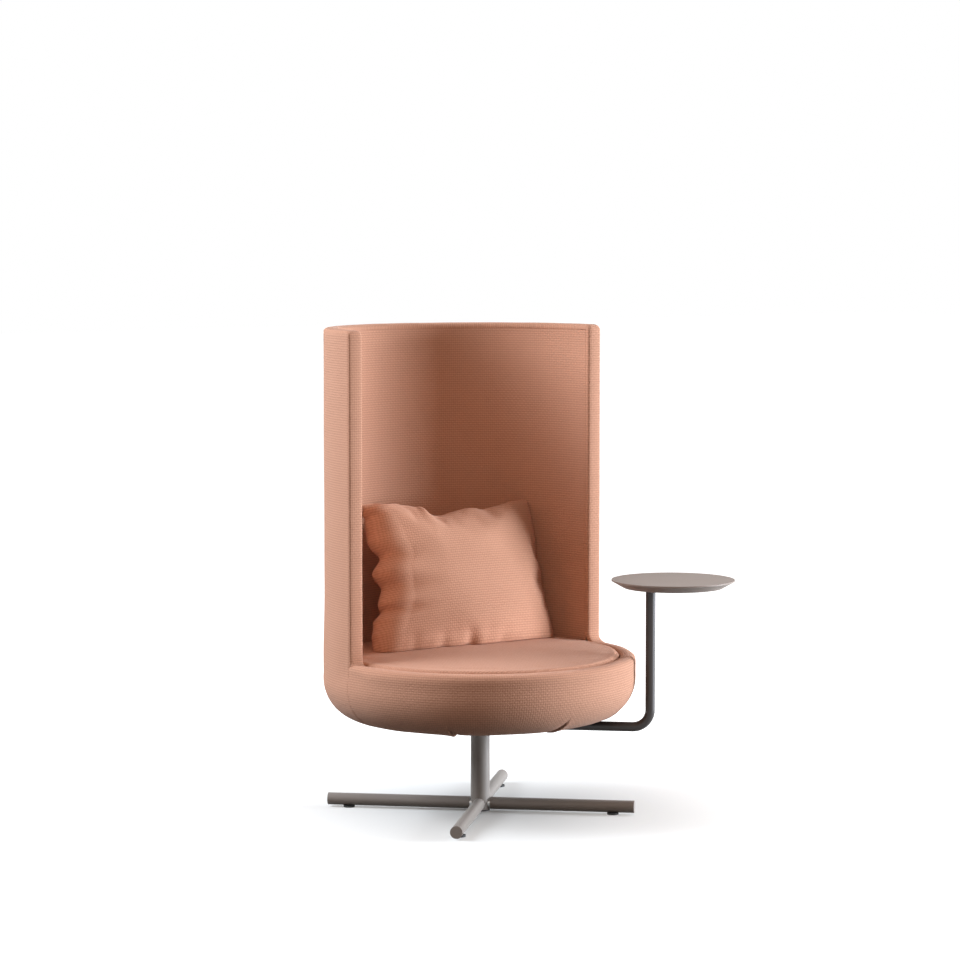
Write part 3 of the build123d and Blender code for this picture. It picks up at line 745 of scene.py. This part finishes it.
def dust_cloth():
    """The stretched cloth that closes the underside of the seat."""
    vertices, faces = [], []
    rings, spokes = 24, 144
    for i in range(rings + 1):
        radius = CLOTH_HOLE + (CLOTH_RADIUS - CLOTH_HOLE) * i / rings
        for j in range(spokes):
            turn = 2 * pi * j / spokes
            pucker = 0.0003 * sin(turn * 36) * (i / rings) ** 4
            vertices.append((radius * cos(turn), radius * sin(turn), CLOTH_LEVEL + pucker))
    for i in range(rings):
        for j in range(spokes):
            k = (j + 1) % spokes
            faces.append((i * spokes + j, i * spokes + k, (i + 1) * spokes + k, (i + 1) * spokes + j))
    uvs = [(x, y) for x, y, _ in vertices]
    cloth = new_mesh_object("dust_cloth", vertices, faces, uvs)
    if cloth.data.polygons[0].normal.z > 0:
        cloth.data.flip_normals()
    return thicken(cloth, CLOTH_THICKNESS)


# Repeated small pieces, made with Geometry Nodes


def along_tree(name, build_one):
    """A tree that sets one small piece at even steps along a curve, turned to follow it."""
    tree = bpy.data.node_groups.new(name, "GeometryNodeTree")
    face = tree.interface
    face.new_socket("Geometry", in_out="INPUT", socket_type="NodeSocketGeometry")
    for label in ("Pitch", "Length", "Width", "Height"):
        face.new_socket(label, in_out="INPUT", socket_type="NodeSocketFloat")
    face.new_socket("Finish", in_out="INPUT", socket_type="NodeSocketMaterial")
    face.new_socket("Geometry", in_out="OUTPUT", socket_type="NodeSocketGeometry")
    start = tree.nodes.new("NodeGroupInput")
    points = tree.nodes.new("GeometryNodeCurveToPoints")
    points.mode = "LENGTH"
    place = tree.nodes.new("GeometryNodeInstanceOnPoints")
    real = tree.nodes.new("GeometryNodeRealizeInstances")
    finish = tree.nodes.new("GeometryNodeSetMaterial")
    end = tree.nodes.new("NodeGroupOutput")
    join = tree.links.new
    join(start.outputs["Geometry"], points.inputs["Curve"])
    join(start.outputs["Pitch"], points.inputs["Length"])
    join(points.outputs["Points"], place.inputs["Points"])
    join(points.outputs["Rotation"], place.inputs["Rotation"])
    join(build_one(tree, start), place.inputs["Instance"])
    join(place.outputs["Instances"], real.inputs["Geometry"])
    join(real.outputs["Geometry"], finish.inputs["Geometry"])
    join(start.outputs["Finish"], finish.inputs["Material"])
    join(finish.outputs["Geometry"], end.inputs["Geometry"])
    return tree


def piece_size(tree, start):
    """Width, height and length of a small piece, as one vector; the length is in the curve's direction."""
    size = tree.nodes.new("ShaderNodeCombineXYZ")
    for label, axis in (("Width", "X"), ("Height", "Y"), ("Length", "Z")):
        tree.links.new(start.outputs[label], size.inputs[axis])
    return size.outputs["Vector"]


def one_stitch(tree, start):
    """A stitch: a small rounded bead of thread, long in the curve's direction."""
    bead = tree.nodes.new("GeometryNodeMeshIcoSphere")
    bead.inputs["Radius"].default_value = 0.5
    bead.inputs["Subdivisions"].default_value = 2
    shape = tree.nodes.new("GeometryNodeTransform")
    tree.links.new(bead.outputs["Mesh"], shape.inputs["Geometry"])
    tree.links.new(piece_size(tree, start), shape.inputs["Scale"])
    return shape.outputs["Geometry"]


def one_staple(tree, start):
    """A staple's crown: a flat bar of wire, long in the curve's direction."""
    bar = tree.nodes.new("GeometryNodeMeshCube")
    tree.links.new(piece_size(tree, start), bar.inputs["Size"])
    return bar.outputs["Mesh"]


def set_along(name, tree, runs, values, finish):
    """Runs a tree over several curves and keeps the result as one plain mesh."""
    curve = bpy.data.curves.new(name, "CURVE")
    curve.dimensions = "3D"
    for run, closed in runs:
        spline = curve.splines.new("POLY")
        spline.points.add(len(run) - 1)
        spline.use_cyclic_u = closed
        for point, at in zip(spline.points, run):
            point.co = (*at, 1)
    obj = bpy.data.objects.new(name, curve)
    bpy.context.scene.collection.objects.link(obj)
    modifier = obj.modifiers.new(name, "NODES")
    modifier.node_group = tree
    for item in tree.interface.items_tree:
        if item.in_out == "INPUT" and item.name in values:
            modifier[item.identifier] = values[item.name]
        if item.in_out == "INPUT" and item.name == "Finish":
            modifier[item.identifier] = finish
    graph = bpy.context.evaluated_depsgraph_get()
    mesh = bpy.data.meshes.new_from_object(obj.evaluated_get(graph))
    bpy.data.objects.remove(obj)
    made = bpy.data.objects.new(name, mesh)
    bpy.context.scene.collection.objects.link(made)
    return made


def seam_runs():
    """The lines that the sewing follows: both seams of the edge strip and the two side seams of the drum."""
    runs = []
    first = FOOT_STEPS + 1
    last = first + CLIMB_STEPS
    stations = [there for there, _, _ in strip_stations()]
    for edge in (stations[first:last], stations[-last:-first]):
        runs.append(([tuple(strip_point(there, OUTER_STITCH)) for there in edge], False))
        runs.append(([tuple(strip_point(there, INNER_STITCH)) for there in edge], False))
    depth = ROLL_DEPTH * DRUM_SEAM * 0.8
    line = [(DRUM_RADIUS, RING_TOP - 0.012), (DRUM_RADIUS, CORNER_TOP)]
    line += lower_edge()[1:]
    for angle in (SEAM_SIDE_ANGLE, 180 - SEAM_SIDE_ANGLE):
        turn = radians(angle)
        run = []
        for (radius, height), (out, up) in walk(line, evenly(0, line_length(line), 60)):
            across = radius - out * depth
            run.append((across * cos(turn), across * sin(turn), height - up * depth))
        runs.append((run, False))
    return runs


def staple_runs():
    """The circle that the staples follow."""
    turns = evenly(0, 2 * pi, 180)[:-1]
    circle = [(STAPLE_RADIUS * cos(turn), STAPLE_RADIUS * sin(turn), STAPLE_LEVEL) for turn in turns]
    return [(circle, True)]


# Finishes


class Finish:
    """A material's nodes, added one after another."""

    def __init__(self, name):
        self.material = bpy.data.materials.new(name)
        self.material.use_nodes = True
        self.tree = self.material.node_tree
        self.shader = self.tree.nodes["Principled BSDF"]

    def add(self, kind, inputs, **settings):
        node = self.tree.nodes.new(kind)
        for key, value in settings.items():
            setattr(node, key, value)
        for key, value in inputs.items():
            self.put(node.inputs[key], value)
        return node

    def put(self, socket, value):
        if isinstance(value, bpy.types.NodeSocket):
            self.tree.links.new(value, socket)
        else:
            socket.default_value = value

    def math(self, operation, a, b=0.0, c=0.0):
        return self.add("ShaderNodeMath", {0: a, 1: b, 2: c}, operation=operation).outputs[0]

    def noise(self, vector, scale, detail=2.0, roughness=0.5):
        node = self.add("ShaderNodeTexNoise", {"Vector": vector, "Scale": scale, "Detail": detail,
                                               "Roughness": roughness})
        return node.outputs["Fac"]

    def spread(self, value, low, high, first=0.3, last=0.7):
        """A value, mostly a noise, spread over a range."""
        node = self.add("ShaderNodeMapRange", {"Value": value, "From Min": first, "From Max": last,
                                               "To Min": low, "To Max": high})
        return node.outputs["Result"]

    def mix(self, share, first, second):
        node = self.add("ShaderNodeMix", {0: share, 6: (*first, 1) if isinstance(first, tuple) else first,
                                          7: (*second, 1) if isinstance(second, tuple) else second},
                        data_type="RGBA")
        return node.outputs[2]

    def bump(self, height, distance, strength=1.0):
        node = self.add("ShaderNodeBump", {"Height": height, "Distance": distance, "Strength": strength})
        self.tree.links.new(node.outputs["Normal"], self.shader.inputs["Normal"])

    def place(self):
        return self.tree.nodes.new("ShaderNodeTexCoord").outputs["Object"]

    def flat(self):
        return self.add("ShaderNodeUVMap", {}, uv_map=WEAVE).outputs["UV"]

    def stretched(self, vector, scale):
        return self.add("ShaderNodeMapping", {"Vector": vector, "Scale": scale}).outputs["Vector"]

    def set(self, **inputs):
        for key, value in inputs.items():
            self.put(self.shader.inputs[key.replace("_", " ")], value)


def woven_fabric():
    """Terracotta wool cloth: thick ribs of weft over a finer warp, in two close tones, with a soft nap."""
    finish = Finish("terracotta_weave")
    flat = finish.flat()
    parts = finish.add("ShaderNodeSeparateXYZ", {"Vector": flat})
    pitch = 0.0062
    warp = finish.math("MULTIPLY", parts.outputs["X"], pi / pitch)
    weft = finish.math("MULTIPLY", parts.outputs["Y"], pi / pitch)
    warp_wave = finish.math("SINE", warp)
    weft_wave = finish.math("SINE", weft)
    crossing = finish.math("MULTIPLY", warp_wave, weft_wave)
    over = finish.math("MULTIPLY_ADD", crossing, 1.6, 0.62)
    over = finish.add("ShaderNodeClamp", {"Value": over}).outputs[0]
    warp_rib = finish.math("POWER", finish.math("ABSOLUTE", warp_wave), 0.6)
    weft_rib = finish.math("POWER", finish.math("ABSOLUTE", weft_wave), 0.6)
    thread = finish.add("ShaderNodeMix", {0: over, 2: finish.math("MULTIPLY", warp_rib, 0.75), 3: weft_rib})
    height = thread.outputs[0]
    slub = finish.noise(finish.stretched(flat, (60, 420, 1)), 1.0, 2.0)
    fibre = finish.noise(finish.stretched(flat, (2600, 2600, 1)), 1.0, 2.0)
    cloud = finish.noise(finish.place(), 9.0, 2.0)
    relief = finish.math("MULTIPLY_ADD", fibre, 0.25, height)
    tone = finish.math("MULTIPLY_ADD", finish.math("MULTIPLY", weft_wave, weft_wave), 0.60, height)
    tone = finish.math("MULTIPLY_ADD", finish.math("MULTIPLY", warp_wave, warp_wave), 0.30, tone)
    tone = finish.math("MULTIPLY_ADD", slub, 0.90, tone)
    tone = finish.math("MULTIPLY_ADD", cloud, 0.30, tone)
    share = finish.spread(tone, 0.0, 1.0, 0.75, 2.25)
    colour = finish.mix(share, (0.460, 0.230, 0.146), (0.625, 0.332, 0.219))
    finish.set(Base_Color=colour, Roughness=0.9, Sheen_Weight=0.12, Sheen_Roughness=0.45,
               Sheen_Tint=(1.0, 0.88, 0.80, 1), Specular_IOR_Level=0.2)
    finish.bump(relief, 0.0007, 1.0)
    return finish.material


def seam_thread():
    finish = Finish("seam_thread")
    twist = finish.noise(finish.stretched(finish.place(), (900, 900, 900)), 1.0)
    finish.set(Base_Color=finish.mix(twist, (0.33, 0.150, 0.095), (0.43, 0.205, 0.135)), Roughness=0.7)
    finish.bump(twist, 0.0001)
    return finish.material


def powder_coat(name, dark, light):
    """Satin powder coat: a fine orange peel and faint cloudiness."""
    finish = Finish(name)
    place = finish.place()
    peel = finish.noise(place, 1100.0, 2.0)
    cloud = finish.noise(place, 14.0, 3.0)
    finish.set(Base_Color=finish.mix(cloud, dark, light),
               Roughness=finish.spread(peel, 0.42, 0.47), Specular_IOR_Level=0.4)
    finish.bump(peel, 0.00010, 0.4)
    return finish.material


def table_lacquer():
    """Taupe lacquer, smooth but for a faint orange peel."""
    finish = Finish("table_lacquer")
    place = finish.place()
    grain = finish.noise(place, 700.0, 2.0)
    cloud = finish.noise(place, 11.0, 2.0)
    finish.set(Base_Color=finish.mix(cloud, (0.288, 0.229, 0.192), (0.312, 0.251, 0.212)),
               Roughness=finish.spread(grain, 0.48, 0.54), Specular_IOR_Level=0.3)
    finish.bump(grain, 0.00006, 0.4)
    return finish.material


def steel():
    """Plated steel with fine drawn lines."""
    finish = Finish("plated_steel")
    place = finish.place()
    drawn = finish.noise(finish.stretched(place, (180, 180, 2600)), 1.0, 2.0)
    cloud = finish.noise(place, 40.0, 2.0)
    finish.set(Base_Color=finish.mix(cloud, (0.46, 0.46, 0.45), (0.56, 0.56, 0.55)), Metallic=1.0,
               Roughness=finish.spread(drawn, 0.28, 0.42))
    finish.bump(drawn, 0.00004, 0.5)
    return finish.material


def moulded(name, dark, light, roughness):
    """Moulded plastic with a fine spark texture."""
    finish = Finish(name)
    place = finish.place()
    spark = finish.noise(place, 1800.0, 2.0)
    cloud = finish.noise(place, 60.0, 2.0)
    finish.set(Base_Color=finish.mix(cloud, dark, light),
               Roughness=finish.spread(spark, roughness - 0.06, roughness + 0.06))
    finish.bump(spark, 0.00008, 0.5)
    return finish.material


def plywood():
    """Birch plywood: long grain and a faint layering through its thickness."""
    finish = Finish("birch_plywood")
    place = finish.place()
    grain = finish.noise(finish.stretched(place, (8, 120, 40)), 1.0, 4.0, 0.6)
    up = finish.add("ShaderNodeSeparateXYZ", {"Vector": place}).outputs["Z"]
    layers = finish.math("SINE", finish.math("MULTIPLY", up, 2 * pi / 0.003))
    tone = finish.math("MULTIPLY_ADD", layers, 0.08, grain)
    finish.set(Base_Color=finish.mix(finish.spread(tone, 0, 1), (0.40, 0.24, 0.12), (0.62, 0.43, 0.25)),
               Roughness=finish.spread(grain, 0.5, 0.65))
    finish.bump(grain, 0.0002, 0.4)
    return finish.material


def felt_cloth():
    """Black non-woven cloth of pressed fibres."""
    finish = Finish("underside_felt")
    place = finish.place()
    fibre = finish.noise(finish.stretched(place, (900, 900, 900)), 1.0, 4.0, 0.7)
    tone = finish.spread(fibre, 0, 1)
    finish.set(Base_Color=finish.mix(tone, (0.004, 0.004, 0.004), (0.016, 0.016, 0.016)), Roughness=0.95)
    finish.bump(fibre, 0.0003, 0.6)
    return finish.material


def carry_over(finishes):
    """Gives every shown CAD node the finish of its material slot."""
    for row in frame["record"]["subparts"]:
        node = frame["nodes"][row["node"]]
        finish = finishes.get(row["material_slot"])
        if finish is None:
            continue
        for slot in node.material_slots:
            slot.material = finish


# Floor, light and camera


def camera_rays(tree):
    """1 for what the camera sees straight, mirrored or through glass, and 0 for light on the object."""
    path = tree.nodes.new("ShaderNodeLightPath")
    total = None
    for kind in ("Is Camera Ray", "Is Glossy Ray", "Is Transmission Ray"):
        socket = path.outputs[kind]
        if total is None:
            total = socket
            continue
        most = tree.nodes.new("ShaderNodeMath")
        most.operation = "MAXIMUM"
        tree.links.new(total, most.inputs[0])
        tree.links.new(socket, most.inputs[1])
        total = most.outputs[0]
    return total


def pale_floor():
    """A pale floor that glows to white away from the chair, with painted shade round the chair where its glow
    is weak, and keeps the chair's cast shadow.
    """
    size = 30.0
    corners = [(-size, -size, 0), (size, -size, 0), (size, size, 0), (-size, size, 0)]
    floor_object = new_mesh_object("studio_floor", corners, [(0, 1, 2, 3)])
    finish = Finish("studio_floor")
    tree = finish.tree
    tree.nodes.remove(finish.shader)
    seen = camera_rays(tree)
    colour = finish.mix(seen, (0.09, 0.09, 0.09), (0.57, 0.575, 0.555))
    diffuse = finish.add("ShaderNodeBsdfDiffuse", {"Color": colour})
    place = finish.place()
    distance = finish.add("ShaderNodeVectorMath", {0: place}, operation="LENGTH").outputs["Value"]
    # Its glow, seen by the camera only, rises from 0.10 by the chair to 1 farther out: white beyond, and
    # painted shade near the chair.
    glow_with_painted_shade = finish.spread(distance, 0.10, 1.0, 0.05, 1.15)
    strength = finish.math("MULTIPLY", glow_with_painted_shade, seen)
    light = finish.add("ShaderNodeEmission", {"Color": (1, 1, 1, 1), "Strength": strength})
    both = finish.add("ShaderNodeAddShader", {0: diffuse.outputs[0], 1: light.outputs[0]})
    tree.links.new(both.outputs[0], tree.nodes["Material Output"].inputs["Surface"])
    floor_object.data.materials.append(finish.material)


def white_room(ambient):
    """White where the camera looks, and a weaker even light on the chair."""
    world = bpy.data.worlds.new("studio")
    bpy.context.scene.world = world
    world.use_nodes = True
    tree = world.node_tree
    back = tree.nodes["Background"]
    seen = camera_rays(tree)
    shade = tree.nodes.new("ShaderNodeMix")
    shade.data_type = "RGBA"
    shade.inputs[6].default_value = (*(ambient * part for part in AMBIENT_TINT), 1)
    shade.inputs[7].default_value = (1, 1, 1, 1)
    tree.links.new(seen, shade.inputs[0])
    tree.links.new(shade.outputs[2], back.inputs["Color"])


def softbox(name, position, target, width, height, power, tint=LAMP_TINT):
    """A large soft lamp."""
    lamp = bpy.data.lights.new(name, "AREA")
    lamp.shape = "RECTANGLE"
    lamp.size = width
    lamp.size_y = height
    lamp.energy = power
    lamp.color = tint
    obj = bpy.data.objects.new(name, lamp)
    bpy.context.scene.collection.objects.link(obj)
    obj.location = position
    obj.rotation_euler = (Vector(target) - Vector(position)).to_track_quat("-Z", "Y").to_euler()
    obj.visible_camera = False


def studio():
    pale_floor()
    white_room(0.15)
    aside = Vector((0.804, -0.595, 0))
    towards = Vector((-0.595, -0.804, 0))
    middle = (0, 0, 0.7)
    softbox("right_softbox", aside * 5.2 + Vector((0, 0, 0.95)), middle, 2.6, 1.9, 440)
    softbox("left_softbox", aside * -4.6 + towards * 0.3 + Vector((0, 0, 3.4)), middle, 3.2, 3.2, 370)
    softbox("front_softbox", towards * 3.4 + Vector((0, 0, 2.8)), middle, 3.0, 2.0, 30, (1.0, 0.78, 0.64))
    softbox("high_softbox", aside * 3.4 - towards * 1.9 + Vector((0, 0, 3.7)), (0, 0, 1.0), 2.6, 2.6, 75)
    softbox("top_softbox", Vector((0.2, 0.2, 3.4)), (0, 0, 0.4), 2.0, 2.0, 6)


def photo_camera():
    """The photograph's camera: a long lens at about a standing eye height, looking slightly down."""
    data = bpy.data.cameras.new("photo_camera")
    data.lens = 117.0
    data.sensor_width = 36.0
    data.clip_end = 100
    camera = bpy.data.objects.new("photo_camera", data)
    bpy.context.scene.collection.objects.link(camera)
    camera.location = (-4.803, -6.486, 1.554)
    camera.rotation_euler = (radians(90 - 4.854), 0, radians(-36.516))
    bpy.context.scene.camera = camera


def keep(piece, body, slot, finish, *nodes):
    """Puts a finished piece on its body, in place of the CAD nodes that it stands for."""
    if finish:
        piece.data.materials.clear()
        piece.data.materials.append(finish)
    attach(piece, body)
    if nodes:
        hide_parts(*nodes)
    return piece


def main():
    fabric = woven_fabric()
    thread = seam_thread()
    metal = steel()
    felt = felt_cloth()
    carry_over({
        "taupe_metal": powder_coat("taupe_powder_coat", (0.258, 0.226, 0.200), (0.286, 0.252, 0.224)),
        # The arm's near-black coat is partly painted shade: it is darker than its own colour, standing for
        # the shade under the seat and the table.
        "dark_metal": powder_coat("dark_coat_with_painted_shade", (0.036, 0.031, 0.029), (0.048, 0.041, 0.039)),
        "bright_steel": metal,
        "black_plastic": moulded("black_plastic", (0.010, 0.010, 0.010), (0.018, 0.018, 0.018), 0.5),
        "white_nylon": moulded("white_nylon", (0.62, 0.60, 0.55), (0.70, 0.68, 0.62), 0.45),
        "plywood": plywood(),
        "table_lacquer": table_lacquer(),
    })

    upholstery = "upholstery_fabric"
    covers = [
        (back_outer_panel(), ("back_outer_cover", "back_outer_foam")),
        (back_inner_panel(), ("back_inner_cover", "back_inner_foam")),
        (back_edge_strip(), ("back_top_band", "back_edge_band_left", "back_edge_band_right")),
        (seat_drum_panel(), ("seat_front_cover", "seat_front_foam")),
    ]
    for piece, nodes in covers:
        keep(piece, "seat", upholstery, fabric, *nodes)
    cushion = seat_cushion()
    pillow = loose_pillow(cushion)
    keep(cushion, "seat", upholstery, fabric, "seat_pad")
    keep(pillow, "pillow", upholstery, fabric, "pillow")

    cloth = keep(dust_cloth(), "seat", "underside_cloth", felt, "underside_cloth")
    stitches = set_along("seam_stitches", along_tree("stitches_along_seam", one_stitch), seam_runs(),
                         {"Pitch": 0.005, "Length": 0.0042, "Width": 0.0009, "Height": 0.0009}, thread)
    keep(stitches, "seat", upholstery, None)
    staples = set_along("cloth_staples", along_tree("staples_along_edge", one_staple), staple_runs(),
                        {"Pitch": 0.035, "Length": 0.010, "Width": 0.0012, "Height": 0.0008}, metal)
    keep(staples, "seat", "bright_steel", None)

    studio()
    photo_camera()
    bpy.context.scene.view_settings.view_transform = "Standard"


main()
